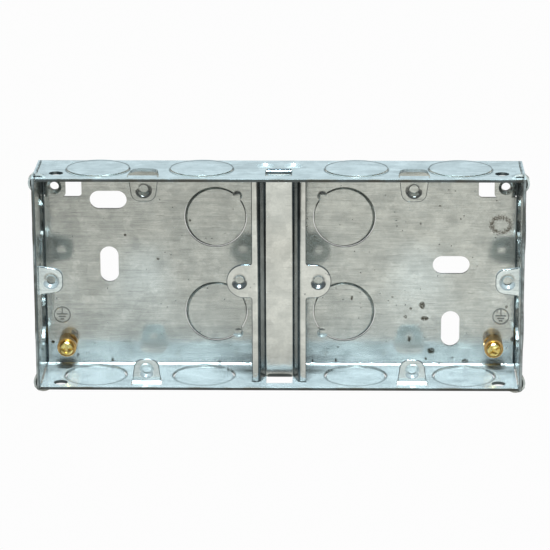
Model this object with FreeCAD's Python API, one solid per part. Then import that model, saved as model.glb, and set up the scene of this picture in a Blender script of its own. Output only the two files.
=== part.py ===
"""Dual flush back box for two single wiring accessories.

A tray folded from one galvanised sheet, a hat-section divider between its two gangs, and two brass
earth terminals with clamping screws. Millimetres, +X right, +Y to the back, +Z up. The origin is the
centre of the back's outer face, so the open rim faces -Y.
"""
import FreeCAD, Part
import math
import os

Vector = FreeCAD.Vector

# Fixing centres of a single accessory, and where its lug holes lie from the walls and the middle
fixing_centres = 60.3
wall_lug_reach = 4.85
divider_lug_reach = 12.6

# Tray
sheet = 1.0
box_depth = 25.0
bend_radius = 0.6
corner_slit = 0.3
corner_slit_stop = 3.0

# Accessory lugs, lanced from the walls
lug_setback = 5.0
lug_base_width = 9.2
lug_end_width = 7.4
lug_nose = 3.9
lug_corner_radius = 3.0
lug_bend_radius = 0.8
lug_slit_width = 0.35
lug_slit_length = 3.0

# Plunged and tapped holes
tapping_radius = 1.45
plunge_width = 0.95
plunge_depth = 0.8
collar_wall = 0.65
collar_length = 1.5

# Knockouts
knockout_radius = 10.1
knockout_rollover = 0.6
knockout_edge_gap = 0.1
knockout_lift = 0.4
wall_nib_width = 3.0
wall_nib_reach = 1.2
back_knockout_shift = 0.3
back_nib_radius = 1.9
back_nib_rise = 0.3
back_knockout_x = 20.85
back_knockout_z = 16.0
wall_knockout_depth = 12.0
inner_knockout_offset = 18.15
top_outer_knockout_offset = 14.85
bottom_outer_knockout_offset = 16.95
end_knockout_z = 16.0

# Fixing slots in the back
slot_length = 12.0
slot_width = 6.0
slot_offset = 12.85
slot_z = 21.7

# Round holes near the corners of the top and bottom walls
corner_hole_radius = 2.25
corner_hole_inset = 7.25
top_hole_setback = 7.0
bottom_hole_setback = 4.5

# Raised tapped tabs in the top corners of the back
tab_hole_inset = 5.0
tab_hole_drop = 8.3
tab_inner_reach = 3.65
tab_outer_reach = 3.15
tab_half_height = 3.3
tab_lift = 2.6
tab_bend_radius = 0.4
tab_corner_radius = 1.2
tab_window_reach = 4.95
tab_window_margin = 0.7

# Clinched corners
clinch_setback = 2.0
clinch_inset = 1.9
clinch_half_width = 2.6
clinch_length = 3.0
clinch_rise = 1.2
clinch_skin = 0.6
clinch_mouth = 1.0

# Divider channel and the tabs that hold it
divider_half_width = 8.7
channel_mouth = 6.2
channel_floor = 4.5
channel_depth = 6.3
channel_bend_radius = 0.8
floor_arch_rise = 0.8
divider_end_gap = 0.4
divider_lug_width = 11.0
divider_lug_nose = 4.1
divider_lug_fillet = 0.8
holding_tab_width = 7.8
holding_tab_length = 6.5
holding_tab_bend_radius = 0.5
holding_slot_length = 7.9
stake_radius = 3.1
stake_floor_radius = 2.4
stake_depth = 0.7
stake_x = 4.4
stake_y = 8.1

# Earth terminals
post_inset = 8.15
post_rise = 8.4
post_radius = 3.1
post_height = 6.3
post_floor = 0.8
spigot_radius = 1.6
spigot_clearance = 0.05
wire_hole_radius = 1.7
wire_hole_height = 2.6
wire_hole_tilt_left = 40.0
wire_hole_tilt_right = 155.0
clamp_radius = 2.2
clamp_clearance = 0.06
clamp_length = 3.2
clamp_standout = 1.4
mouth_radius = 2.75
mouth_depth = 0.5
drive_width = 0.8
drive_depth = 0.9
drive_cross_length = 3.0
drive_turn_left = 0.0
drive_turn_right = 35.0

# Worked out from the sizes above
half_width = divider_lug_reach + fixing_centres + wall_lug_reach
half_height = fixing_centres / 2 + wall_lug_reach
gang_x = divider_lug_reach + fixing_centres / 2
slot_x = gang_x + slot_offset
corner_hole_x = half_width - corner_hole_inset
tab_hole_x = half_width - tab_hole_inset
tab_hole_z = half_height - tab_hole_drop
post_x = half_width - post_inset
post_z = half_height - post_rise
lug_face = lug_setback - box_depth
channel_face = lug_face + channel_depth
overcut = 1.0

# Each wall is drawn as the top wall, with its outer face on z = 0, and then turned about Y in this order
WALL_ORDER = ("top", "right", "bottom", "left")

# How a flat outline's u, v and its offset w lie in space, for each direction it is extruded in
PLANES = {
    "x": lambda u, v, w: Vector(w, u, v),
    "y": lambda u, v, w: Vector(u, w, v),
    "z": lambda u, v, w: Vector(u, v, w),
}


def outline(corners, axis, offset):
    """Closed wire through (u, v, radius) corners, each rounded by its own radius."""
    points = [Vector(u, v, 0) for u, v, radius in corners]
    rounds = []
    for index, corner in enumerate(points):
        radius = corners[index][2]
        back = (points[index - 1] - corner).normalize()
        ahead = (points[(index + 1) % len(points)] - corner).normalize()
        half_angle = back.getAngle(ahead) / 2
        run = radius / math.tan(half_angle)
        inward = (back + ahead).normalize() * (radius / math.sin(half_angle) - radius)
        rounds.append((corner + back * run, corner + inward, corner + ahead * run))

    def placed(point):
        return PLANES[axis](point.x, point.y, offset)

    edges = []
    for index, (start, middle, end) in enumerate(rounds):
        if corners[index][2] > 0:
            edges.append(Part.Arc(placed(start), placed(middle), placed(end)).toShape())
        following = rounds[(index + 1) % len(rounds)][0]
        if end.distanceToPoint(following) > 1e-6:
            edges.append(Part.makeLine(placed(end), placed(following)))
    return Part.Wire(edges)


def prism(corners, axis, start, length):
    """Solid of a rounded outline, extruded along x, y or z from start."""
    face = Part.Face(outline(corners, axis, start))
    return face.extrude(PLANES[axis](0, 0, length))


def turned(corners):
    """Solid of an (r, y) outline turned about the Y axis."""
    return Part.Face(outline(corners, "z", 0)).revolve(Vector(), Vector(0, 1, 0), 360)


def block(low, high):
    """Box between two corners."""
    return Part.makeBox(high[0] - low[0], high[1] - low[1], high[2] - low[2], Vector(*low))


def moved(shape, x=0.0, y=0.0, z=0.0):
    """Copy of a shape, shifted."""
    copy = shape.copy()
    copy.translate(Vector(x, y, z))
    return copy


def mirrored(shape):
    """Copy of a shape on the other side of the middle plane x = 0."""
    return shape.mirror(Vector(), Vector(1, 0, 0))


def on_wall(shape, wall, along=0.0):
    """Copy of a shape drawn for the top wall, placed on the named wall."""
    reach = half_width if wall in ("left", "right") else half_height
    copy = moved(shape, along, 0, reach)
    copy.rotate(Vector(), Vector(0, 1, 0), 90 * WALL_ORDER.index(wall))
    return copy


def on_back(shape, x, z):
    """Copy of a shape drawn with its outer side along +Z, placed on the back."""
    copy = shape.copy()
    copy.rotate(Vector(), Vector(1, 0, 0), -90)
    return moved(copy, x, 0, z)


def arc_radius(half_chord, rise):
    """Radius of the arc that rises this far over a chord."""
    return (half_chord ** 2 + rise ** 2) / (2 * rise)


def plunged_hole():
    """Cutter and collar of a hole plunged along +Y from a front face on y = 0."""
    depth = sheet + collar_length
    cutter = turned([
        (0, -overcut, 0),
        (tapping_radius + plunge_width, -overcut, 0),
        (tapping_radius + plunge_width, 0, 0),
        (tapping_radius, plunge_depth, 0),
        (tapping_radius, depth + overcut, 0),
        (0, depth + overcut, 0),
    ])
    collar = Part.makeCylinder(
        tapping_radius + collar_wall, depth - sheet / 2, Vector(0, sheet / 2, 0), Vector(0, 1, 0))
    return cutter, collar


def plunge(plate, x, y, z):
    """Plate with a plunged hole whose front mouth is at x, y, z."""
    cutter, collar = plunged_hole()
    return plate.fuse(moved(collar, x, y, z)).cut(moved(cutter, x, y, z))


def bent_lug():
    """Lug for a wall whose outer face is z = 0, and the window that it leaves in that wall."""
    tip = -wall_lug_reach - lug_nose
    bend_end = -sheet - lug_bend_radius
    tongue = lug_face - lug_slit_length
    base = lug_base_width / 2
    end = lug_end_width / 2
    strip = prism([
        (tongue, 0, 0),
        (lug_face + sheet, 0, lug_bend_radius + sheet),
        (lug_face + sheet, tip, 0),
        (lug_face, tip, 0),
        (lug_face, -sheet, lug_bend_radius),
        (tongue, -sheet, 0),
    ], "x", -base, lug_base_width)
    plan = prism([
        (-base, overcut, 0),
        (base, overcut, 0),
        (base, bend_end, 0),
        (end, tip, lug_corner_radius),
        (-end, tip, lug_corner_radius),
        (-base, bend_end, 0),
    ], "y", tongue - overcut, lug_slit_length + sheet + 2 * overcut)
    lug = plunge(strip.common(plan), 0, lug_face, -wall_lug_reach)

    bend_length = (lug_bend_radius + sheet / 2) * math.pi / 2
    rear = lug_face - lug_bend_radius + bend_length + (bend_end - tip)
    window = prism([
        (-base - lug_slit_width, tongue, 0),
        (base + lug_slit_width, tongue, 0),
        (base + lug_slit_width, lug_face, 0),
        (end + lug_slit_width, rear, lug_corner_radius),
        (-end - lug_slit_width, rear, lug_corner_radius),
        (-base - lug_slit_width, lug_face, 0),
    ], "z", -sheet - overcut, sheet + 2 * overcut)
    return lug, window


def knockout(nib, nib_angle, lift, shift):
    """Hole and its loose disc, held by one nib, in a sheet whose outer face is z = 0."""
    hole = Part.makeCylinder(
        knockout_radius, sheet + 2 * overcut, Vector(0, 0, -sheet - overcut))
    rim_radius = knockout_radius - knockout_edge_gap
    inner_rim = Part.Wire(Part.makeCircle(rim_radius - knockout_rollover, Vector(shift, 0, lift - sheet)))
    outer_rim = Part.Wire(Part.makeCircle(rim_radius, Vector(0, 0, lift)))
    disc = Part.makeLoft([inner_rim, outer_rim], True, True)
    holder = moved(nib, knockout_radius)
    holder.rotate(Vector(), Vector(0, 0, 1), nib_angle)
    return hole, disc.fuse(holder)


def folded_tray():
    """Back and four walls with bent edges, and slits where the walls meet."""
    outer = block((-half_width, -box_depth, -half_height), (half_width, 0, half_height))
    back_edges = [e for e in outer.Edges if abs(e.BoundBox.YMin) < 1e-6]
    outer = outer.makeFillet(bend_radius + sheet, back_edges)
    inner = block(
        (sheet - half_width, -box_depth - overcut, sheet - half_height),
        (half_width - sheet, -sheet, half_height - sheet))
    floor_edges = [e for e in inner.Edges if abs(e.BoundBox.YMin + sheet) < 1e-6]
    tray = outer.cut(inner.makeFillet(bend_radius, floor_edges))
    slit = block(
        (half_width - sheet - corner_slit, -box_depth - overcut, half_height - sheet - overcut),
        (half_width - sheet, -corner_slit_stop, half_height + overcut))
    top_slits = slit.fuse(mirrored(slit))
    bottom_slits = top_slits.mirror(Vector(), Vector(0, 0, 1))
    return tray.cut(top_slits).cut(bottom_slits)


def wall_features():
    """Cutters and added pieces of the lugs, knockouts and holes in the four walls."""
    cuts = []
    adds = []
    lug, window = bent_lug()
    lug_places = [("left", 0), ("right", 0)]
    for wall in ("top", "bottom"):
        lug_places += [(wall, -gang_x), (wall, gang_x)]
    for wall, along in lug_places:
        cuts.append(on_wall(window, wall, along))
        adds.append(on_wall(lug, wall, along))

    nib = block(
        (-wall_nib_reach, -wall_nib_width / 2, -sheet),
        (wall_nib_reach, wall_nib_width / 2, knockout_lift))
    knockout_places = []
    for side in (-1, 1):
        inner_nib = 90 + side * 45
        outer_nib = 90 - side * 45
        inner_x = side * (gang_x - inner_knockout_offset)
        knockout_places += [
            ("top", inner_x, inner_nib),
            ("bottom", inner_x, inner_nib),
            ("top", side * (gang_x + top_outer_knockout_offset), outer_nib),
            ("bottom", side * (gang_x + bottom_outer_knockout_offset), outer_nib),
            ("left", side * end_knockout_z, outer_nib),
            ("right", side * end_knockout_z, outer_nib),
        ]
    for wall, along, nib_angle in knockout_places:
        hole, disc = knockout(nib, nib_angle, knockout_lift, 0)
        cuts.append(on_wall(moved(hole, 0, -wall_knockout_depth), wall, along))
        adds.append(on_wall(moved(disc, 0, -wall_knockout_depth), wall, along))

    for wall, setback in (("top", top_hole_setback), ("bottom", bottom_hole_setback)):
        hole = Part.makeCylinder(
            corner_hole_radius, sheet + 2 * overcut, Vector(0, setback - box_depth, -sheet - overcut))
        for along in (-corner_hole_x, corner_hole_x):
            cuts.append(on_wall(hole, wall, along))
    return cuts, adds


def holding_tab_features():
    """Tabs folded in from the top and bottom walls behind the divider, with their slots and stakes."""
    front = channel_face + sheet
    fold = front + sheet + holding_tab_bend_radius
    half = holding_tab_width / 2
    tab = prism([
        (fold, 0, 0),
        (front, 0, holding_tab_bend_radius + sheet),
        (front, -holding_tab_length, 0),
        (front + sheet, -holding_tab_length, 0),
        (front + sheet, -sheet, holding_tab_bend_radius),
        (fold, -sheet, 0),
    ], "x", -half, holding_tab_width)
    slot = block(
        (-half - lug_slit_width, front - holding_slot_length, -sheet - overcut),
        (half + lug_slit_width, fold, overcut))
    stake = Part.makeCone(
        stake_floor_radius, stake_radius, stake_depth, Vector(stake_x, -stake_y, -stake_depth))
    stakes = stake.fuse(mirrored(stake))
    cuts = []
    adds = []
    for wall in ("top", "bottom"):
        cuts.append(on_wall(slot, wall))
        cuts.append(on_wall(stakes, wall))
        adds.append(on_wall(tab, wall))
    return cuts, adds


def back_features():
    """Cutters and added pieces of the knockouts, slots, raised tabs and rivet holes in the back."""
    cuts = []
    adds = []
    low = -sheet - back_nib_rise
    dome_radius = arc_radius(back_nib_radius, back_nib_rise)
    dome = Part.makeSphere(dome_radius, Vector(0, 0, low + dome_radius))
    nib = Part.makeCylinder(back_nib_radius, -low, Vector(0, 0, low)).common(dome)
    for side in (-1, 1):
        for level in (-1, 1):
            nib_angle = math.degrees(math.atan2(-level, -side))
            hole, disc = knockout(nib, nib_angle, 0, -side * back_knockout_shift)
            cuts.append(on_back(hole, side * back_knockout_x, level * back_knockout_z))
            adds.append(on_back(disc, side * back_knockout_x, level * back_knockout_z))

    long_slot = slotted_hole(slot_length, slot_width)
    tall_slot = slotted_hole(slot_width, slot_length)
    cuts.append(moved(long_slot, -slot_x, 0, slot_z))
    cuts.append(moved(tall_slot, -slot_x, 0, 0))
    cuts.append(moved(long_slot, slot_x, 0, 0))
    cuts.append(moved(tall_slot, slot_x, 0, -slot_z))

    tab, window = raised_tab()
    rivet_hole = Part.makeCylinder(
        spigot_radius + spigot_clearance, sheet + 2 * overcut,
        Vector(post_x, -sheet - overcut, -post_z), Vector(0, 1, 0))
    cuts += [window, mirrored(window), rivet_hole, mirrored(rivet_hole)]
    adds += [tab, mirrored(tab)]
    return cuts, adds


def slotted_hole(length, height):
    """Round-ended slot through the back, centred on the origin."""
    radius = min(length, height) / 2
    corners = [
        (-length / 2, -height / 2, radius),
        (length / 2, -height / 2, radius),
        (length / 2, height / 2, radius),
        (-length / 2, height / 2, radius),
    ]
    return prism(corners, "y", -sheet - overcut, sheet + 2 * overcut)


def raised_tab():
    """Right-hand tapped tab, joggled up from the back, and the window that it leaves there."""
    inner = tab_hole_x - tab_inner_reach
    outer = tab_hole_x + tab_outer_reach
    low = tab_hole_z - tab_half_height
    high = tab_hole_z + tab_half_height
    front = -tab_lift - sheet
    foot = outer + tab_bend_radius
    strip = prism([
        (inner, front, 0),
        (outer, front, tab_bend_radius + sheet),
        (outer, -sheet, tab_bend_radius),
        (foot, -sheet, 0),
        (foot, 0, 0),
        (outer - sheet, 0, tab_bend_radius + sheet),
        (outer - sheet, -tab_lift, tab_bend_radius),
        (inner, -tab_lift, 0),
    ], "z", low, high - low)
    plan = prism([
        (inner, low, tab_corner_radius),
        (foot + overcut, low, 0),
        (foot + overcut, high, 0),
        (inner, high, tab_corner_radius),
    ], "y", front - overcut, tab_lift + sheet + 2 * overcut)
    tab = plunge(strip.common(plan), tab_hole_x, front, tab_hole_z)
    window = prism([
        (inner - tab_window_reach, low - tab_window_margin, tab_corner_radius),
        (foot, low - tab_window_margin, 0),
        (foot, high + tab_window_margin, 0),
        (inner - tab_window_reach, high + tab_window_margin, tab_corner_radius),
    ], "y", -sheet - overcut, sheet + 2 * overcut)
    return tab, window


def clinch_bump():
    """Louvre pressed out of a wall whose outer face is z = 0, open towards the rim."""
    arch_radius = arc_radius(clinch_half_width, clinch_rise)
    front = clinch_setback - box_depth
    centre = Vector(0, front, clinch_rise - arch_radius)
    rear = Vector(0, 1, 0)
    arch = Part.makeCylinder(arch_radius, clinch_length, centre, rear)
    hollow = Part.makeCylinder(arch_radius - clinch_skin, clinch_mouth, centre, rear)
    above = block((-arch_radius, front, 0), (arch_radius, front + clinch_mouth, clinch_rise))
    slope = prism([
        (front, -sheet / 2, 0),
        (front + clinch_length, -sheet / 2, 0),
        (front + clinch_length, 0, 0),
        (front, clinch_rise, 0),
    ], "x", -arch_radius, 2 * arch_radius)
    return arch.common(slope).cut(hollow.common(above))


def clinched_corners():
    """Pressed bumps on both walls at each corner of the rim."""
    bump = clinch_bump()
    bumps = []
    for side in (-1, 1):
        for wall in ("top", "bottom"):
            bumps.append(on_wall(bump, wall, side * (half_width - clinch_inset)))
        for wall in ("left", "right"):
            bumps.append(on_wall(bump, wall, side * (half_height - clinch_inset)))
    return bumps


def back_box():
    """Whole folded tray with its lugs, knockouts, slots and tabs."""
    cuts = []
    adds = clinched_corners()
    for features in (wall_features, holding_tab_features, back_features):
        more_cuts, more_adds = features()
        cuts += more_cuts
        adds += more_adds
    return folded_tray().cut(cuts).fuse(adds).removeSplitter()


def divider_channel():
    """Hat-section channel between the gangs, with a lug on each flange."""
    tip = divider_lug_reach + divider_lug_nose
    half_length = half_height - sheet - divider_end_gap
    slope = (channel_mouth - channel_floor) / channel_depth
    shift = sheet * math.sqrt(1 + slope ** 2) - slope * sheet
    inner = channel_bend_radius
    outer = channel_bend_radius + sheet
    right_front = [
        (channel_floor, channel_face, inner),
        (channel_mouth, lug_face, outer),
        (tip, lug_face, 0),
    ]
    right_rear = [
        (tip, lug_face + sheet, 0),
        (channel_mouth + shift, lug_face + sheet, inner),
        (channel_floor + shift, channel_face + sheet, outer),
    ]
    right = right_front + right_rear
    left = [(-x, y, radius) for x, y, radius in reversed(right)]
    strip = prism(right + left, "z", -half_length, 2 * half_length)

    half_lug = divider_lug_width / 2
    right_edge = [
        (divider_half_width, -half_length - overcut, 0),
        (divider_half_width, -half_lug, divider_lug_fillet),
        (tip, -half_lug, half_lug),
        (tip, half_lug, half_lug),
        (divider_half_width, half_lug, divider_lug_fillet),
        (divider_half_width, half_length + overcut, 0),
    ]
    left_edge = [(-x, z, radius) for x, z, radius in reversed(right_edge)]
    plan = prism(
        right_edge + left_edge, "y", lug_face - overcut, channel_depth + sheet + 2 * overcut)
    arch_radius = arc_radius(channel_floor, floor_arch_rise)
    arch_z = half_length - floor_arch_rise + arch_radius
    arches = []
    for end in (-1, 1):
        arches.append(Part.makeCylinder(
            arch_radius, sheet + 2 * overcut, Vector(0, channel_face - overcut, end * arch_z),
            Vector(0, 1, 0)))
    channel = strip.common(plan).cut(arches)
    for side in (-1, 1):
        channel = plunge(channel, side * divider_lug_reach, lug_face, 0)
    return channel.removeSplitter()


def earth_post(side, wire_hole_tilt):
    """Brass post riveted to the back, bored for its screw and cross-drilled for the wire."""
    front = -sheet - post_height
    bore = clamp_radius + clamp_clearance
    post = turned([
        (0, 0, 0),
        (spigot_radius, 0, 0),
        (spigot_radius, -sheet, 0),
        (post_radius, -sheet, 0),
        (post_radius, front, 0),
        (mouth_radius, front, 0),
        (mouth_radius, front + mouth_depth, 0),
        (bore, front + mouth_depth, 0),
        (bore, -sheet - post_floor, 0),
        (0, -sheet - post_floor, 0),
    ])
    wire_hole = Part.makeCylinder(
        wire_hole_radius, 2 * post_radius + 2 * overcut,
        Vector(-post_radius - overcut, -sheet - wire_hole_height, 0), Vector(1, 0, 0))
    wire_hole.rotate(Vector(), Vector(0, 1, 0), -wire_hole_tilt)
    return moved(post.cut(wire_hole), side * post_x, 0, -post_z)


def earth_screw(side, drive_turn):
    """Clamping screw of an earth post, with a slot and a cross in its end."""
    front = -sheet - post_height - clamp_standout
    screw = Part.makeCylinder(clamp_radius, clamp_length, Vector(0, front, 0), Vector(0, 1, 0))
    half = drive_width / 2
    drive = block(
        (-clamp_radius - overcut, front - overcut, -half),
        (clamp_radius + overcut, front + drive_depth, half))
    cross = block(
        (-half, front - overcut, -drive_cross_length / 2),
        (half, front + drive_depth, drive_cross_length / 2))
    drive = drive.fuse(cross)
    drive.rotate(Vector(), Vector(0, 1, 0), drive_turn)
    return moved(screw.cut(drive), side * post_x, 0, -post_z)


os.makedirs("parts", exist_ok=True)
PIECES = {
    "back_box": back_box(),
    "divider_channel": divider_channel(),
    "earth_post_left": earth_post(-1, wire_hole_tilt_left),
    "earth_post_right": earth_post(1, wire_hole_tilt_right),
    "earth_screw_left": earth_screw(-1, drive_turn_left),
    "earth_screw_right": earth_screw(1, drive_turn_right),
}
for name, shape in PIECES.items():
    shape.exportStep(os.path.join("parts", name + ".step"))
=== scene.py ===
import math

import bpy
from mathutils import Matrix, Vector


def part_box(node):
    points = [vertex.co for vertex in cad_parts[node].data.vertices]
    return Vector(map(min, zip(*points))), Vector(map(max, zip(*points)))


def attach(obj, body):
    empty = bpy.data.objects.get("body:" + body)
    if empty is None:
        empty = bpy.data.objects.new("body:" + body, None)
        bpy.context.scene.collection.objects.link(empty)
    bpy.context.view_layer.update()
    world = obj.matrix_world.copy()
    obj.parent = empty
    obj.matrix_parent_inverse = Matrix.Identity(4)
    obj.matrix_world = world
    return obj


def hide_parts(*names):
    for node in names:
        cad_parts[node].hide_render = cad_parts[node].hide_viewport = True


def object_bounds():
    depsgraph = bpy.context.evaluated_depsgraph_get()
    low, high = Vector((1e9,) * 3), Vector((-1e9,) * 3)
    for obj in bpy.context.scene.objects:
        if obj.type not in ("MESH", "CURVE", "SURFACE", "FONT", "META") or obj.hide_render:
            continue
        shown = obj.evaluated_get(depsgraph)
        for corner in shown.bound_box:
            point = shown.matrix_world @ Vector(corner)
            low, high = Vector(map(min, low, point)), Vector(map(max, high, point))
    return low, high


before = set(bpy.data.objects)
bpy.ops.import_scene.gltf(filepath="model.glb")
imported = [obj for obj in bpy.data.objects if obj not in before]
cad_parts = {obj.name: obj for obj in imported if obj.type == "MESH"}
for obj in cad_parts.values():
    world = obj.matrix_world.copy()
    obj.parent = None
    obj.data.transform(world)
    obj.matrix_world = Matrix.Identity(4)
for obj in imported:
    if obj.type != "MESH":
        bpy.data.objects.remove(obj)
cad_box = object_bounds()

# Faces of the sheet in the shared frame: the back, the rim, the lugs' fronts and the ends' insides.
MM = 0.001
SHEET = 1.0 * MM
BACK_FACE = cad_box[1].y
PANEL_FACE = BACK_FACE - SHEET
RIM_FACE = cad_box[0].y
LUG_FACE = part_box("divider_channel")[0].y
END_FACE = 76.75 * MM
BOX_HALF_WIDTH = END_FACE + SHEET
FLOOR_LEVEL = cad_box[0].z

# Knockouts in the long walls: radius, place along the depth, and places across from the middle.
KNOCKOUT_RADIUS = 10.1 * MM
KNOCKOUT_DEPTH = -13.0 * MM
KNOCKOUT_INNER = 24.6 * MM
KNOCKOUT_OUTER_TOP = 57.6 * MM
KNOCKOUT_OUTER_BOTTOM = 59.7 * MM

# Holes in the corners of the long walls: place across, and the stretch of the depth that holds them.
CORNER_HOLE_X = 70.5 * MM
CORNER_HOLE_REACH = 2.4 * MM
CORNER_HOLE_FRONT = -23.0 * MM
CORNER_HOLE_BACK = -15.5 * MM

# Camera: place in metres, turns in degrees, focal length in pixels of the picture, sensor in millimetres.
CAMERA_PLACE = (0.0183, -0.8742, 0.2585)
CAMERA_PITCH = -16.70
CAMERA_YAW = 1.31
CAMERA_ROLL = -0.22
CAMERA_SENSOR = 36.0
CAMERA_FOCAL_PIXELS = 2800
PICTURE_PIXELS = 550
CAMERA_LENS = CAMERA_FOCAL_PIXELS / PICTURE_PIXELS * CAMERA_SENSOR

# Colours of scratches, raw rims, specks, flecks, rust and shear lines on the zinc and the brass, and of a
# painted dark reflection on the end walls.
SCRATCH_COLOUR = (0.15, 0.16, 0.15, 1)
SPECK_COLOUR = (0.09, 0.085, 0.07, 1)
RAW_RIM_COLOUR = (0.09, 0.08, 0.065, 1)
FLECK_COLOUR = (0.05, 0.042, 0.025, 1)
RUST_COLOUR = (0.06, 0.04, 0.018, 1)
# Painted reflection: dark streaks on the ends' inner faces.
DARK_REFLECTION_COLOUR = (0.10, 0.12, 0.12, 1)
SHEAR_COLOUR = (0.08, 0.085, 0.08, 1)
BRASS_SPECK_COLOUR = (0.10, 0.06, 0.02, 1)

# The white of floor and room, as the camera sees them.
WHITE = (1.0, 1.0, 1.0, 1)
WHITE_STRENGTH = 0.98


# Small helpers for building node trees.
def feed(tree, socket, value):
    if isinstance(value, bpy.types.NodeSocket):
        tree.links.new(value, socket)
    else:
        socket.default_value = value


def math_step(tree, operation, first, second=0.0, clamp=False):
    node = tree.nodes.new("ShaderNodeMath")
    node.operation = operation
    node.use_clamp = clamp
    feed(tree, node.inputs[0], first)
    feed(tree, node.inputs[1], second)
    return node.outputs[0]


def product(tree, first, second):
    return math_step(tree, "MULTIPLY", first, second)


def weighted(tree, first, second, share):
    """The sum of two values, the second one by its share."""
    return math_step(tree, "ADD", product(tree, first, 1.0 - share), product(tree, second, share))


def remap(tree, value, low, high, to_low=0.0, to_high=1.0, smooth=True):
    node = tree.nodes.new("ShaderNodeMapRange")
    node.interpolation_type = "SMOOTHSTEP" if smooth else "LINEAR"
    feed(tree, node.inputs["Value"], value)
    feed(tree, node.inputs["From Min"], low)
    feed(tree, node.inputs["From Max"], high)
    feed(tree, node.inputs["To Min"], to_low)
    feed(tree, node.inputs["To Max"], to_high)
    return node.outputs["Result"]


def stretched(tree, vector, scale):
    node = tree.nodes.new("ShaderNodeMapping")
    feed(tree, node.inputs["Vector"], vector)
    node.inputs["Scale"].default_value = scale
    return node.outputs["Vector"]


def noise(tree, vector, scale, detail=2.0, roughness=0.5):
    node = tree.nodes.new("ShaderNodeTexNoise")
    feed(tree, node.inputs["Vector"], vector)
    feed(tree, node.inputs["Scale"], scale)
    node.inputs["Detail"].default_value = detail
    node.inputs["Roughness"].default_value = roughness
    return node


def wandering(tree, vector, scale, reach):
    """The place pushed about by noise, for ragged outlines."""
    node = tree.nodes.new("ShaderNodeVectorMath")
    node.operation = "MULTIPLY_ADD"
    feed(tree, node.inputs[0], noise(tree, vector, scale, 1.0).outputs["Color"])
    node.inputs[1].default_value = (reach, reach, reach)
    feed(tree, node.inputs[2], vector)
    return node.outputs[0]


def blend_colours(tree, share, first, second):
    node = tree.nodes.new("ShaderNodeMix")
    node.data_type = "RGBA"
    feed(tree, node.inputs[0], share)
    feed(tree, node.inputs[6], first)
    feed(tree, node.inputs[7], second)
    return node.outputs[2]


def split(tree, vector):
    node = tree.nodes.new("ShaderNodeSeparateXYZ")
    feed(tree, node.inputs[0], vector)
    return node.outputs


def new_group(name, inputs, outputs):
    tree = bpy.data.node_groups.new(name, "ShaderNodeTree")
    for label, kind, value in inputs:
        socket = tree.interface.new_socket(label, in_out="INPUT", socket_type=kind)
        socket.default_value = value
    for label, kind in outputs:
        tree.interface.new_socket(label, in_out="OUTPUT", socket_type=kind)
    return tree, tree.nodes.new("NodeGroupInput").outputs, tree.nodes.new("NodeGroupOutput").inputs


def place_group(tree, group, **values):
    node = tree.nodes.new("ShaderNodeGroup")
    node.node_tree = group
    for label, value in values.items():
        feed(tree, node.inputs[label.replace("_", " ")], value)
    return node.outputs


# Shared surface effects.
def rolling_streaks_group():
    """Fine lines that the mill leaves along the strip, broken and uneven, and a few dark scratches."""
    tree, given, result = new_group(
        "rolling_streaks",
        [("Vector", "NodeSocketVector", (0, 0, 0)), ("Fineness", "NodeSocketFloat", 1.0)],
        [("Streaks", "NodeSocketFloat"), ("Scratches", "NodeSocketFloat")],
    )
    broad = noise(tree, stretched(tree, given["Vector"], (75, 900, 900)), given["Fineness"], 3.0, 0.6)
    fine = noise(tree, stretched(tree, given["Vector"], (150, 3000, 3000)), given["Fineness"], 2.0, 0.55)
    both = weighted(tree, broad.outputs["Fac"], fine.outputs["Fac"], 0.45)
    feed(tree, result["Streaks"], remap(tree, both, 0.32, 0.68))
    scratch = noise(tree, stretched(tree, given["Vector"], (170, 2100, 2100)), given["Fineness"], 1.0, 0.4)
    feed(tree, result["Scratches"], remap(tree, scratch.outputs["Fac"], 0.67, 0.77))
    return tree


def zinc_mottle_group():
    """Cloudy patches, soft spangle and slow waviness of a dipped zinc skin."""
    tree, given, result = new_group(
        "zinc_mottle",
        [("Vector", "NodeSocketVector", (0, 0, 0)), ("Patch", "NodeSocketFloat", 120.0)],
        [("Cloud", "NodeSocketFloat"), ("Grain", "NodeSocketFloat"), ("Wave", "NodeSocketFloat"),
         ("Spangle", "NodeSocketFloat")],
    )
    cloud = noise(tree, given["Vector"], given["Patch"], 4.0, 0.62)
    feed(tree, result["Cloud"], remap(tree, cloud.outputs["Fac"], 0.3, 0.7))
    grain = noise(tree, given["Vector"], product(tree, given["Patch"], 11.0), 3.0, 0.7)
    feed(tree, result["Grain"], remap(tree, grain.outputs["Fac"], 0.3, 0.7))
    feed(tree, result["Wave"], noise(tree, given["Vector"], given["Patch"], 1.0).outputs["Fac"])
    flakes = tree.nodes.new("ShaderNodeTexVoronoi")
    flakes.feature = "SMOOTH_F1"
    feed(tree, flakes.inputs["Vector"], wandering(tree, given["Vector"], 500.0, 0.003))
    feed(tree, flakes.inputs["Scale"], product(tree, given["Patch"], 2.2))
    flakes.inputs["Smoothness"].default_value = 0.35
    feed(tree, result["Spangle"], split(tree, flakes.outputs["Color"])[0])
    return tree


def specks_group():
    """Sparse round pits and dirt specks, one in a few cells."""
    tree, given, result = new_group(
        "specks",
        [("Vector", "NodeSocketVector", (0, 0, 0)), ("Cells", "NodeSocketFloat", 350.0),
         ("Share", "NodeSocketFloat", 0.2), ("Size", "NodeSocketFloat", 0.12)],
        [("Mask", "NodeSocketFloat")],
    )
    cells = tree.nodes.new("ShaderNodeTexVoronoi")
    feed(tree, cells.inputs["Vector"], wandering(tree, given["Vector"], 1800.0, 0.0003))
    feed(tree, cells.inputs["Scale"], given["Cells"])
    draw = split(tree, cells.outputs["Color"])
    chosen = math_step(tree, "LESS_THAN", draw[0], given["Share"])
    reach = product(tree, given["Size"], math_step(tree, "ADD", draw[1], 0.35))
    edge = product(tree, reach, 0.45)
    spot = remap(tree, cells.outputs["Distance"], reach, edge)
    feed(tree, result["Mask"], product(tree, spot, chosen))
    return tree


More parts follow.
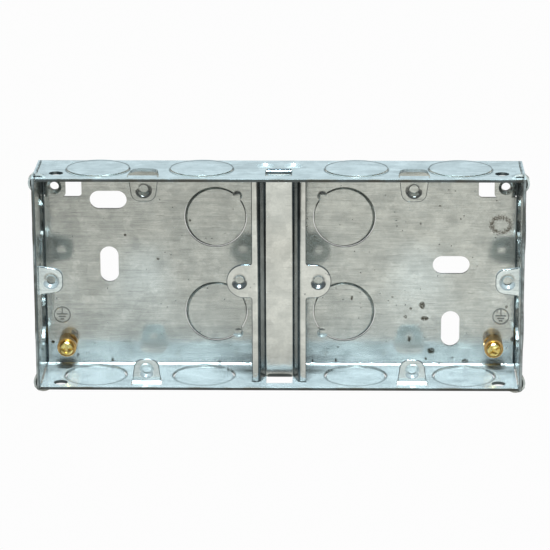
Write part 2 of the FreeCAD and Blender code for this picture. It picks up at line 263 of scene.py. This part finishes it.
def stain_group():
    """One ragged, grainy spot of dirt or rust at a place; Hollow leaves only its rim."""
    tree, given, result = new_group(
        "stain",
        [("Vector", "NodeSocketVector", (0, 0, 0)), ("Centre", "NodeSocketVector", (0, 0, 0)),
         ("Reach", "NodeSocketFloat", 0.001), ("Stretch", "NodeSocketVector", (1, 1, 1)),
         ("Hollow", "NodeSocketFloat", 0.0), ("Ragged", "NodeSocketFloat", 0.55)],
        [("Mask", "NodeSocketFloat")],
    )
    ragged = noise(tree, given["Vector"], 2000.0, 3.0, 0.75)
    offset = tree.nodes.new("ShaderNodeVectorMath")
    offset.operation = "SUBTRACT"
    feed(tree, offset.inputs[0], given["Vector"])
    feed(tree, offset.inputs[1], given["Centre"])
    shaped = tree.nodes.new("ShaderNodeVectorMath")
    shaped.operation = "MULTIPLY"
    feed(tree, shaped.inputs[0], offset.outputs[0])
    feed(tree, shaped.inputs[1], given["Stretch"])
    far = tree.nodes.new("ShaderNodeVectorMath")
    far.operation = "LENGTH"
    feed(tree, far.inputs[0], shaped.outputs[0])
    share = math_step(tree, "DIVIDE", far.outputs["Value"], given["Reach"])
    push = remap(tree, ragged.outputs["Fac"], 0.2, 0.8, -1.0, 1.0, False)
    uneven = math_step(tree, "ADD", share, product(tree, push, given["Ragged"]))
    body = remap(tree, uneven, 1.0, 0.75)
    inside = product(tree, remap(tree, uneven, 0.72, 0.5), given["Hollow"])
    grains = remap(tree, noise(tree, given["Vector"], 2600.0, 1.0).outputs["Fac"], 0.36, 0.5, 0.3, 1.0)
    spot = math_step(tree, "SUBTRACT", body, inside, clamp=True)
    feed(tree, result["Mask"], product(tree, spot, grains))
    return tree


STREAKS = rolling_streaks_group()
MOTTLE = zinc_mottle_group()
SPECKS = specks_group()
STAIN = stain_group()


def new_material(name):
    material = bpy.data.materials.new(name)
    material.use_nodes = True
    tree = material.node_tree
    shader = next(n for n in tree.nodes if n.type == "BSDF_PRINCIPLED")
    place = tree.nodes.new("ShaderNodeTexCoord").outputs["Object"]
    return material, tree, shader, place


def bump(tree, height, strength, distance, under=None):
    node = tree.nodes.new("ShaderNodeBump")
    node.inputs["Strength"].default_value = strength
    node.inputs["Distance"].default_value = distance
    feed(tree, node.inputs["Height"], height)
    if under:
        tree.links.new(under, node.inputs["Normal"])
    return node.outputs["Normal"]


DARK_FLECKS = [
    # x, z, reach and stretch along x and z, in millimetres on the back's inner face
    (46.3, -13.7, 1.3, (1.2, 0.9)),
    (42.6, -14.9, 0.45, (1.0, 1.0)),
    (40.9, -17.6, 0.6, (1.0, 1.0)),
    (47.2, -18.2, 1.1, (0.8, 1.3)),
    (36.6, -11.0, 0.4, (1.0, 1.0)),
    (42.2, -25.4, 0.9, (1.6, 0.8)),
    (49.4, -29.35, 1.2, (0.9, 1.0)),
    (47.7, -32.1, 0.5, (1.0, 1.0)),
    (52.1, -34.2, 0.8, (1.6, 0.8)),
    (56.3, -31.7, 0.5, (1.0, 1.0)),
    (60.6, -32.9, 1.1, (0.9, 1.1)),
    (76.0, -25.3, 0.9, (1.0, 1.0)),
    (73.8, -14.2, 0.5, (1.0, 1.0)),
    (10.6, -33.1, 0.7, (2.0, 0.8)),
    (18.2, -32.8, 0.7, (2.0, 0.8)),
    (18.9, -28.2, 0.4, (0.8, 1.4)),
    (23.4, -11.3, 0.6, (1.5, 0.7)),
    (45.6, 13.95, 0.4, (1.0, 1.0)),
    (51.7, 19.9, 0.35, (1.0, 1.0)),
    (58.5, 15.5, 0.3, (1.0, 1.0)),
    (-50.3, 9.9, 0.45, (1.0, 1.0)),
    (-39.7, 1.85, 0.5, (0.9, 1.2)),
    (-29.2, 14.9, 0.6, (1.2, 1.2)),
    (-74.7, -26.7, 0.6, (1.0, 1.0)),
    (-66.6, -31.2, 0.6, (1.3, 0.8)),
    (-55.2, -32.8, 0.7, (1.5, 0.8)),
    (-20.0, -33.6, 0.8, (1.4, 0.9)),
    (-18.2, -34.5, 0.6, (1.6, 0.8)),
]
# x, z and reach of the rust ring, likewise
RUST_RING = (71.5, 13.55, 4.0)


def shear_lines(tree, axes, wide):
    """Thin raw lines round the knockouts in the long walls."""
    high = math_step(tree, "ABSOLUTE", axes["Z"])
    deep = math_step(tree, "SUBTRACT", axes["Y"], KNOCKOUT_DEPTH)
    outer = remap(tree, axes["Z"], -MM, MM, KNOCKOUT_OUTER_BOTTOM, KNOCKOUT_OUTER_TOP)
    lines = 0.0
    for centre in (KNOCKOUT_INNER, outer):
        aside = math_step(tree, "SUBTRACT", wide, centre)
        square = math_step(tree, "ADD", product(tree, aside, aside), product(tree, deep, deep))
        off_line = math_step(tree, "SUBTRACT", math_step(tree, "SQRT", square), KNOCKOUT_RADIUS)
        line = remap(tree, math_step(tree, "ABSOLUTE", off_line), 0.5 * MM, 0.15 * MM)
        lines = math_step(tree, "MAXIMUM", line, lines)
    return product(tree, lines, remap(tree, high, 33.6 * MM, 33.8 * MM))


def tray_marks_and_painted_reflection(tree, place, axes, colour, flecks):
    """The tray's own marks: flecks and a rust ring on the back, raw shear lines; and a painted dark
    reflection in streaks on the ends.
    """
    wide = math_step(tree, "ABSOLUTE", axes["X"])
    inside = remap(tree, axes["Y"], PANEL_FACE + 0.6 * MM, PANEL_FACE + 0.3 * MM)
    spots = 0.0
    for x, z, reach, (along, up) in flecks:
        fleck = place_group(tree, STAIN, Vector=place, Centre=(x * MM, PANEL_FACE, z * MM),
                            Reach=reach * MM, Stretch=(along, 1.0, up))["Mask"]
        spots = math_step(tree, "MAXIMUM", fleck, spots)
    colour = blend_colours(tree, product(tree, spots, inside), colour, FLECK_COLOUR)
    x, z, reach = RUST_RING
    ring = place_group(tree, STAIN, Vector=place, Centre=(x * MM, PANEL_FACE, z * MM),
                       Reach=reach * MM, Stretch=(1.0, 1.0, 1.15), Hollow=1.0, Ragged=0.45)["Mask"]
    colour = blend_colours(tree, product(tree, ring, inside), colour, RUST_COLOUR)
    # Painted reflection: the ends' inner faces darkened in streaks, standing in for the dark reflections
    # they show.
    ends = product(tree, remap(tree, wide, END_FACE - 0.25 * MM, END_FACE - 0.05 * MM),
                   remap(tree, wide, END_FACE + 0.6 * MM, END_FACE + 0.3 * MM))
    painted_reflection_streaks = noise(tree, stretched(tree, place, (60, 900, 45)), 1.0, 3.0, 0.6).outputs["Fac"]
    painted_reflection_streaks = remap(tree, painted_reflection_streaks, 0.38, 0.62, 0.25, 0.85)
    colour = blend_colours(tree, product(tree, ends, painted_reflection_streaks), colour, DARK_REFLECTION_COLOUR)
    shear = shear_lines(tree, axes, wide)
    return blend_colours(tree, product(tree, shear, 0.65), colour, SHEAR_COLOUR)


def galvanised_sheet(name, dull, bright, streaked, metal, flecks=()):
    """Zinc skin: rolled streaks against spangle, scratches, specks, raw rims and any tray marks with their
    painted reflection.
    """
    material, tree, shader, place = new_material(name)
    axes = split(tree, place)
    rolling = place_group(tree, STREAKS, Vector=place)
    mottle = place_group(tree, MOTTLE, Vector=place, Patch=140.0)
    specks = place_group(tree, SPECKS, Vector=place, Cells=360.0, Share=0.8, Size=0.1)["Mask"]
    skin = weighted(tree, mottle["Cloud"], mottle["Spangle"], 0.45)
    share = weighted(tree, skin, rolling["Streaks"], streaked)
    colour = blend_colours(tree, share, dull, bright)
    colour = blend_colours(tree, product(tree, mottle["Grain"], 0.3), colour, dull)
    colour = blend_colours(tree, product(tree, rolling["Scratches"], streaked), colour, SCRATCH_COLOUR)
    colour = blend_colours(tree, product(tree, specks, 0.7), colour, SPECK_COLOUR)
    rim = remap(tree, axes["Y"], RIM_FACE + 0.25 * MM, RIM_FACE + 0.1 * MM)
    patchy = remap(tree, mottle["Cloud"], 0.1, 0.9, 0.95, 0.5)
    colour = blend_colours(tree, product(tree, rim, patchy), colour, RAW_RIM_COLOUR)
    if flecks:
        colour = tray_marks_and_painted_reflection(tree, place, axes, colour, flecks)
    tree.links.new(colour, shader.inputs["Base Color"])
    shader.inputs["Metallic"].default_value = metal
    rough = math_step(tree, "ADD", remap(tree, share, 0.0, 1.0, 0.17, 0.09, False),
                      product(tree, math_step(tree, "MAXIMUM", specks, rim), 0.4))
    tree.links.new(rough, shader.inputs["Roughness"])
    waves = bump(tree, mottle["Wave"], 1.0, 0.00008)
    fine = weighted(tree, mottle["Grain"], rolling["Streaks"], streaked)
    tree.links.new(bump(tree, fine, 0.2, 0.00003, waves), shader.inputs["Normal"])
    return material


def brass(name, dull, bright, roughness, rings):
    """Turned brass: a cloudy tone, fine turning lines and a few dark specks."""
    material, tree, shader, place = new_material(name)
    mottle = place_group(tree, MOTTLE, Vector=place, Patch=500.0)
    turning = noise(tree, stretched(tree, place, (60, rings, 60)), 1.0, 2.0, 0.6).outputs["Fac"]
    colour = blend_colours(tree, mottle["Cloud"], dull, bright)
    specks = place_group(tree, SPECKS, Vector=place, Cells=900.0, Share=0.25, Size=0.16)["Mask"]
    colour = blend_colours(tree, product(tree, specks, 0.5), colour, BRASS_SPECK_COLOUR)
    tree.links.new(colour, shader.inputs["Base Color"])
    shader.inputs["Metallic"].default_value = 1.0
    tree.links.new(remap(tree, mottle["Grain"], 0.0, 1.0, roughness - 0.06, roughness + 0.08, False),
                   shader.inputs["Roughness"])
    tree.links.new(bump(tree, turning, 0.3, 0.00004), shader.inputs["Normal"])
    return material


SIGN_FINISH = galvanised_sheet(
    "galvanised_sheet_sign", (0.24, 0.255, 0.25, 1), (0.52, 0.54, 0.53, 1), streaked=0.2, metal=0.8)
# Painted shade: a dark finish that stands in for shade and dark reflections on bends, channel sides, hole
# walls and rounded edges.
PAINTED_SHADE_FINISH = galvanised_sheet(
    "galvanised_sheet_painted_shade", (0.05, 0.065, 0.07, 1), (0.22, 0.25, 0.26, 1), streaked=0.3, metal=0.9)
BOX_FINISH = galvanised_sheet(
    "galvanised_sheet_box", (0.42, 0.445, 0.435, 1), (0.87, 0.89, 0.865, 1), streaked=0.42, metal=0.74,
    flecks=DARK_FLECKS)
DIVIDER_FINISH = galvanised_sheet(
    "galvanised_sheet_divider", (0.62, 0.64, 0.63, 1), (0.93, 0.945, 0.925, 1), streaked=0.12, metal=0.97)
POST_FINISH = brass("turned_post_brass", (0.48, 0.28, 0.10, 1), (0.70, 0.45, 0.19, 1), 0.34, 2500)
SCREW_FINISH = brass("bright_screw_brass", (0.80, 0.58, 0.18, 1), (0.94, 0.76, 0.32, 1), 0.22, 3500)


# Modelling helpers. A piece's finishes are numbered: its own, then the painted shade one, a dark finish
# that stands in for shade and dark reflections.
OWN = 0
PAINTED_SHADE_SLOT = 1
MERGE_REACH = 0.000002


def deselect_all():
    bpy.ops.object.select_all(action="DESELECT")


def select_only(piece):
    deselect_all()
    piece.select_set(True)
    bpy.context.view_layer.objects.active = piece


def apply_modifier(piece, kind, **settings):
    select_only(piece)
    modifier = piece.modifiers.new(kind.lower(), kind)
    for key, value in settings.items():
        setattr(modifier, key, value)
    bpy.ops.object.modifier_apply(modifier=modifier.name)


def settle(piece):
    """Puts the piece's place into its mesh, so that its object sits at the origin."""
    select_only(piece)
    bpy.ops.object.transform_apply(location=True, rotation=True, scale=True)


def coat(piece, *finishes):
    piece.data.materials.clear()
    for finish in finishes:
        piece.data.materials.append(finish)


def seat(piece, body):
    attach(piece, body)


def paint_shade_on(piece, test):
    """Gives the second finish, the painted shade one, to the faces that pass the test on their centre and
    normal.
    """
    for face in piece.data.polygons:
        if test(face.center, face.normal):
            face.material_index = PAINTED_SHADE_SLOT


def pick(piece, items, test):
    """Selects, in edit mode, only the named items of the mesh that pass the test."""
    bpy.ops.object.mode_set(mode="OBJECT")
    for kind in (piece.data.vertices, piece.data.edges, piece.data.polygons):
        kind.foreach_set("select", [False] * len(kind))
    for item in getattr(piece.data, items):
        item.select = test(item)
    bpy.ops.object.mode_set(mode="EDIT")


def merged_copy(node, name, *finishes):
    """A copy of a solid's mesh with its doubles merged and its flat faces whole."""
    piece = bpy.data.objects.new(name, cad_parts[node].data.copy())
    bpy.context.scene.collection.objects.link(piece)
    coat(piece, *finishes)
    select_only(piece)
    bpy.ops.mesh.customdata_custom_splitnormals_clear()
    bpy.ops.object.mode_set(mode="EDIT")
    bpy.ops.mesh.select_mode(type="EDGE")
    bpy.ops.mesh.select_all(action="SELECT")
    bpy.ops.mesh.remove_doubles(threshold=MERGE_REACH)
    bpy.ops.mesh.dissolve_limited(angle_limit=math.radians(0.6))
    bpy.ops.object.mode_set(mode="OBJECT")
    return piece


def sharp_edges(piece, angle):
    """Numbers of the edges that turn by more than an angle, in degrees."""
    bpy.ops.object.mode_set(mode="EDIT")
    bpy.ops.mesh.select_all(action="DESELECT")
    bpy.ops.mesh.edges_select_sharp(sharpness=math.radians(angle))
    bpy.ops.object.mode_set(mode="OBJECT")
    return {e.index for e in piece.data.edges if e.select}


def ease_edges_at(piece, level, width, least=45, most=180, finish=PAINTED_SHADE_SLOT):
    """Rounds the edges in one plane across the depth that turn by an angle between two limits. The new
    faces take the given finish, by default the painted shade one.
    """
    places = piece.data.vertices
    turned = sharp_edges(piece, least) - sharp_edges(piece, most)
    chosen = {e.index for e in piece.data.edges if e.index in turned
              and all(abs(places[v].co.y - level) < 0.01 * MM for v in e.vertices)}
    pick(piece, "edges", lambda e: e.index in chosen)
    bpy.ops.mesh.bevel(offset=width, segments=4, affect="EDGES", clamp_overlap=False, material=finish)
    bpy.ops.object.mode_set(mode="OBJECT")


def stand_for(piece, node, body):
    """Smooths and seats a copy that takes its solid's place."""
    select_only(piece)
    bpy.ops.object.shade_smooth_by_angle(angle=math.radians(40))
    apply_modifier(piece, "WEIGHTED_NORMAL", weight=60, keep_sharp=True)
    seat(piece, body)
    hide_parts(node)


def painted_shade_on_box(place, normal):
    """Faces painted dark for shade and dark reflection: corner clinches, the back's upright bends, folds of
    the holding tabs, walls of the corner holes.
    """
    wide = abs(place.x)
    high = abs(place.z)
    clinch = wide > BOX_HALF_WIDTH + 0.05 * MM and high > 28.0 * MM
    bend = END_FACE - 0.65 * MM < wide < END_FACE + 0.02 * MM and place.y > PANEL_FACE - 0.65 * MM
    fold = wide < 3.95 * MM and high > 33.0 * MM and place.y < -11.3 * MM and abs(normal.z) < 0.97
    hole = high > 33.9 * MM and abs(normal.z) < 0.5 and CORNER_HOLE_FRONT < place.y < CORNER_HOLE_BACK
    hole = hole and abs(wide - CORNER_HOLE_X) < CORNER_HOLE_REACH
    return clinch or fold or hole or (bend and 0.05 < abs(normal.x) < 0.99)


def painted_shade_on_divider(place, normal):
    """Painted dark reflection and shade on the sides of the channel and most of their front bends."""
    return abs(place.x) < 7.7 * MM and abs(normal.x) > 0.42 and normal.y < 0.05


# Rounding of the lugs' outlines, of the rim, and of the mouths of the plunged holes between two angles.
LUG_EASING = 0.22 * MM
RIM_EASING = 0.12 * MM
FUNNEL_EASING = 0.5 * MM
FUNNEL_LEAST = 25
FUNNEL_MOST = 45

box_shell = merged_copy("back_box", "box_shell", BOX_FINISH, PAINTED_SHADE_FINISH)
paint_shade_on(box_shell, painted_shade_on_box)
ease_edges_at(box_shell, LUG_FACE, FUNNEL_EASING, FUNNEL_LEAST, FUNNEL_MOST, finish=OWN)
# The lugs' and rim's rounded edges take the painted shade finish: painted dark outlines.
ease_edges_at(box_shell, LUG_FACE, LUG_EASING)
ease_edges_at(box_shell, RIM_FACE, RIM_EASING)
stand_for(box_shell, "back_box", "box")

divider = merged_copy("divider_channel", "divider", DIVIDER_FINISH, PAINTED_SHADE_FINISH)
paint_shade_on(divider, painted_shade_on_divider)
ease_edges_at(divider, LUG_FACE, FUNNEL_EASING, FUNNEL_LEAST, FUNNEL_MOST, finish=OWN)
ease_edges_at(divider, LUG_FACE, LUG_EASING)
stand_for(divider, "divider_channel", "box")

for side in ("left", "right"):
    post = merged_copy(f"earth_post_{side}", f"post_{side}", POST_FINISH)
    apply_modifier(post, "BEVEL", width=0.08 * MM, segments=2, limit_method="ANGLE",
                   angle_limit=math.radians(50), use_clamp_overlap=False, loop_slide=False)
    stand_for(post, f"earth_post_{side}", "box")


# Clamping screws, in millimetres: thread grooves, front chamfer, driver slot and its short cross.
GROOVE_START = 0.95
GROOVE_PITCH = 0.6
GROOVE_COUNT = 4
GROOVE_HALF_WIDTH = 0.3
GROOVE_SCALE = 0.9
CHAMFER_DEPTH = 0.3
CHAMFER_SCALE = 0.86
SLOT_LENGTH = 5.0
CROSS_LENGTH = 3.0
SLOT_CUTTER_DEPTH = 1.8
SLOT_WIDTH = 0.8


def clamping_screw(side, turn):
    """A headless screw: grooved thread, chamfered front, driver slot with a short cross."""
    low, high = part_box(f"earth_screw_{side}")
    middle = (low + high) / 2
    radius = (high.x - low.x) / 2
    deselect_all()
    bpy.ops.mesh.primitive_cylinder_add(vertices=48, radius=radius, depth=high.y - low.y,
                                        location=middle, rotation=(math.radians(90), 0, 0))
    screw = bpy.context.object
    screw.name = f"clamp_screw_{side}"
    settle(screw)
    bpy.ops.object.mode_set(mode="EDIT")
    bpy.ops.mesh.select_mode(type="VERT")
    grooves = [low.y + (GROOVE_START + GROOVE_PITCH * index) * MM for index in range(GROOVE_COUNT)]
    cuts = [low.y + CHAMFER_DEPTH * MM]
    for groove in grooves:
        cuts += [groove - GROOVE_HALF_WIDTH * MM, groove, groove + GROOVE_HALF_WIDTH * MM]
    for cut in cuts:
        bpy.ops.mesh.select_all(action="SELECT")
        bpy.ops.mesh.bisect(plane_co=(0, cut, 0), plane_no=(0, 1, 0))
    bpy.ops.mesh.select_all(action="SELECT")
    bpy.ops.mesh.remove_doubles(threshold=0.000005)
    pulls = [(groove, GROOVE_SCALE) for groove in grooves] + [(low.y, CHAMFER_SCALE)]
    for place, scale in pulls:
        pick(screw, "vertices", lambda v: abs(v.co.y - place) < 0.02 * MM)
        bpy.ops.transform.resize(value=(scale, 1, scale), center_override=(middle.x, place, middle.z))
    bpy.ops.object.mode_set(mode="OBJECT")
    for length, angle in ((SLOT_LENGTH * MM, turn), (CROSS_LENGTH * MM, turn + 90)):
        deselect_all()
        bpy.ops.mesh.primitive_cube_add(size=1, location=(middle.x, low.y, middle.z),
                                        rotation=(0, math.radians(-angle), 0))
        cutter = bpy.context.object
        cutter.scale = (length, SLOT_CUTTER_DEPTH * MM, SLOT_WIDTH * MM)
        settle(cutter)
        apply_modifier(screw, "BOOLEAN", object=cutter, operation="DIFFERENCE", solver="EXACT")
        bpy.data.objects.remove(cutter)
    apply_modifier(screw, "BEVEL", width=0.06 * MM, segments=2, limit_method="ANGLE",
                   angle_limit=math.radians(50), use_clamp_overlap=True)
    bpy.ops.object.shade_smooth_by_angle(angle=math.radians(35))
    coat(screw, SCREW_FINISH)
    seat(screw, f"clamp_{side}")
    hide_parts(f"earth_screw_{side}")


clamping_screw("left", 0)
clamping_screw("right", 35)


def earth_sign(side, x, z, radius, line, raised):
    """The common earth sign, pressed up as thin lines: a ring, a stem and three bars."""
    deselect_all()
    bpy.ops.mesh.primitive_circle_add(vertices=64, radius=radius, fill_type="NGON",
                                      location=(x, PANEL_FACE, z), rotation=(math.radians(90), 0, 0))
    sign = bpy.context.object
    sign.name = f"earth_sign_{side}"
    settle(sign)
    bpy.ops.object.mode_set(mode="EDIT")
    bpy.ops.mesh.select_mode(type="FACE")
    bpy.ops.mesh.select_all(action="SELECT")
    bpy.ops.mesh.inset(thickness=line)
    bpy.ops.mesh.delete(type="FACE")
    stem = (0.5 * radius, line, 0.7 * radius)
    bars = [(0.08 * radius, 1.25 * radius, line), (-0.24 * radius, 0.85 * radius, line),
            (-0.54 * radius, 0.45 * radius, line)]
    for up, width, height in [stem] + bars:
        middle = (x, PANEL_FACE, z + up)
        bpy.ops.mesh.select_all(action="DESELECT")
        bpy.ops.mesh.primitive_plane_add(size=1, location=middle, rotation=(math.radians(90), 0, 0))
        bpy.ops.transform.resize(value=(width, 1, height), center_override=middle)
    bpy.ops.mesh.select_all(action="SELECT")
    bpy.ops.mesh.normals_make_consistent(inside=False)
    bpy.ops.object.mode_set(mode="OBJECT")
    apply_modifier(sign, "SOLIDIFY", thickness=2 * raised, offset=0.0)
    apply_modifier(sign, "BEVEL", width=0.45 * raised, segments=2, limit_method="ANGLE",
                   angle_limit=math.radians(50))
    coat(sign, SIGN_FINISH)
    seat(sign, "box")


earth_sign("left", -71.4 * MM, -17.3 * MM, 2.8 * MM, 0.4 * MM, 0.2 * MM)
earth_sign("right", 72.0 * MM, -17.5 * MM, 2.8 * MM, 0.45 * MM, 0.25 * MM)


# Studio: a pale floor, soft light and the camera.
def studio_floor():
    deselect_all()
    bpy.ops.mesh.primitive_plane_add(size=6.0, location=(0, 0, FLOOR_LEVEL))
    floor = bpy.context.object
    floor.name = "studio_floor"
    material = bpy.data.materials.new("pale_floor")
    material.use_nodes = True
    tree = material.node_tree
    tree.nodes.clear()
    place = tree.nodes.new("ShaderNodeTexCoord").outputs["Object"]
    axes = split(tree, place)
    # The light that the metal mirrors: by distance in front, to the sides, from left to right and behind.
    near = remap(tree, axes["Y"], -0.02, -0.08, 0.65, 1.0)
    far = remap(tree, axes["Y"], -0.32, -0.55, 1.0, 0.3)
    beside = remap(tree, math_step(tree, "ABSOLUTE", axes["X"]), 0.085, 0.13, 1.0, 0.2)
    drift = remap(tree, axes["X"], -0.06, 0.09, 0.9, 1.12)
    before = product(tree, product(tree, near, far), product(tree, beside, drift))
    behind = remap(tree, axes["Y"], 0.0, 0.06, 0.0, 0.75)
    lit = math_step(tree, "MAXIMUM", before, behind)
    seen = tree.nodes.new("ShaderNodeEmission")
    seen.inputs["Color"].default_value = WHITE
    seen.inputs["Strength"].default_value = WHITE_STRENGTH
    thrown = tree.nodes.new("ShaderNodeEmission")
    thrown.inputs["Color"].default_value = (0.77, 0.765, 0.70, 1)
    tree.links.new(lit, thrown.inputs["Strength"])
    choice = tree.nodes.new("ShaderNodeMixShader")
    tree.links.new(tree.nodes.new("ShaderNodeLightPath").outputs["Is Camera Ray"], choice.inputs[0])
    tree.links.new(thrown.outputs[0], choice.inputs[1])
    tree.links.new(seen.outputs[0], choice.inputs[2])
    tree.links.new(choice.outputs[0], tree.nodes.new("ShaderNodeOutputMaterial").inputs["Surface"])
    floor.data.materials.append(material)


def softbox(name, place, target, width, height, power, colour):
    data = bpy.data.lights.new(name, "AREA")
    data.shape = "RECTANGLE"
    data.size = width
    data.size_y = height
    data.energy = power
    data.color = colour
    light = bpy.data.objects.new(name, data)
    bpy.context.scene.collection.objects.link(light)
    light.location = place
    light.visible_camera = False
    light.rotation_euler = (Vector(target) - Vector(place)).to_track_quat("-Z", "Y").to_euler()


studio_floor()
softbox("overhead_light", (0.0, -0.275, 0.756), (0, -0.0125, 0), 0.3, 0.1, 33.0, (0.72, 0.90, 1.0))
softbox("front_panel", (0.0, -0.66, 0.65), (0, -0.0125, 0), 0.25, 0.25, 1.5, (0.80, 0.94, 1.0))
softbox("rear_panel", (0.0, 1.2, 0.45), (0, 0, 0), 2.0, 0.8, 0.5, (1.0, 0.97, 0.93))


def studio_surround():
    """Dark room for the metal to mirror, pale where the camera looks past the floor."""
    world = bpy.data.worlds.new("studio")
    world.use_nodes = True
    tree = world.node_tree
    room = tree.nodes["Background"]
    room.inputs["Color"].default_value = (0.9, 0.95, 1.0, 1)
    room.inputs["Strength"].default_value = 0.04
    pale = tree.nodes.new("ShaderNodeBackground")
    pale.inputs["Color"].default_value = WHITE
    pale.inputs["Strength"].default_value = WHITE_STRENGTH
    choice = tree.nodes.new("ShaderNodeMixShader")
    tree.links.new(tree.nodes.new("ShaderNodeLightPath").outputs["Is Camera Ray"], choice.inputs[0])
    tree.links.new(room.outputs[0], choice.inputs[1])
    tree.links.new(pale.outputs[0], choice.inputs[2])
    tree.links.new(choice.outputs[0], tree.nodes["World Output"].inputs["Surface"])
    bpy.context.scene.world = world


studio_surround()


def studio_camera():
    pitch, yaw, roll = (math.radians(v) for v in (CAMERA_PITCH, CAMERA_YAW, CAMERA_ROLL))
    tilt = Matrix(((1, 0, 0), (0, math.cos(pitch), math.sin(pitch)),
                   (0, -math.sin(pitch), math.cos(pitch))))
    turn = Matrix(((math.cos(yaw), math.sin(yaw), 0), (-math.sin(yaw), math.cos(yaw), 0), (0, 0, 1)))
    lean = Matrix(((math.cos(roll), 0, math.sin(roll)), (0, 1, 0), (-math.sin(roll), 0, math.cos(roll))))
    right, forward, up = lean @ tilt @ turn
    data = bpy.data.cameras.new("studio_camera")
    data.sensor_width = CAMERA_SENSOR
    data.lens = CAMERA_LENS
    data.clip_start = 0.05
    data.clip_end = 20.0
    camera = bpy.data.objects.new("studio_camera", data)
    bpy.context.scene.collection.objects.link(camera)
    axes = Matrix((right, up, -forward)).transposed()
    camera.matrix_world = Matrix.Translation(CAMERA_PLACE) @ axes.to_4x4()
    bpy.context.scene.camera = camera


studio_camera()
bpy.context.scene.view_settings.view_transform = "Standard"
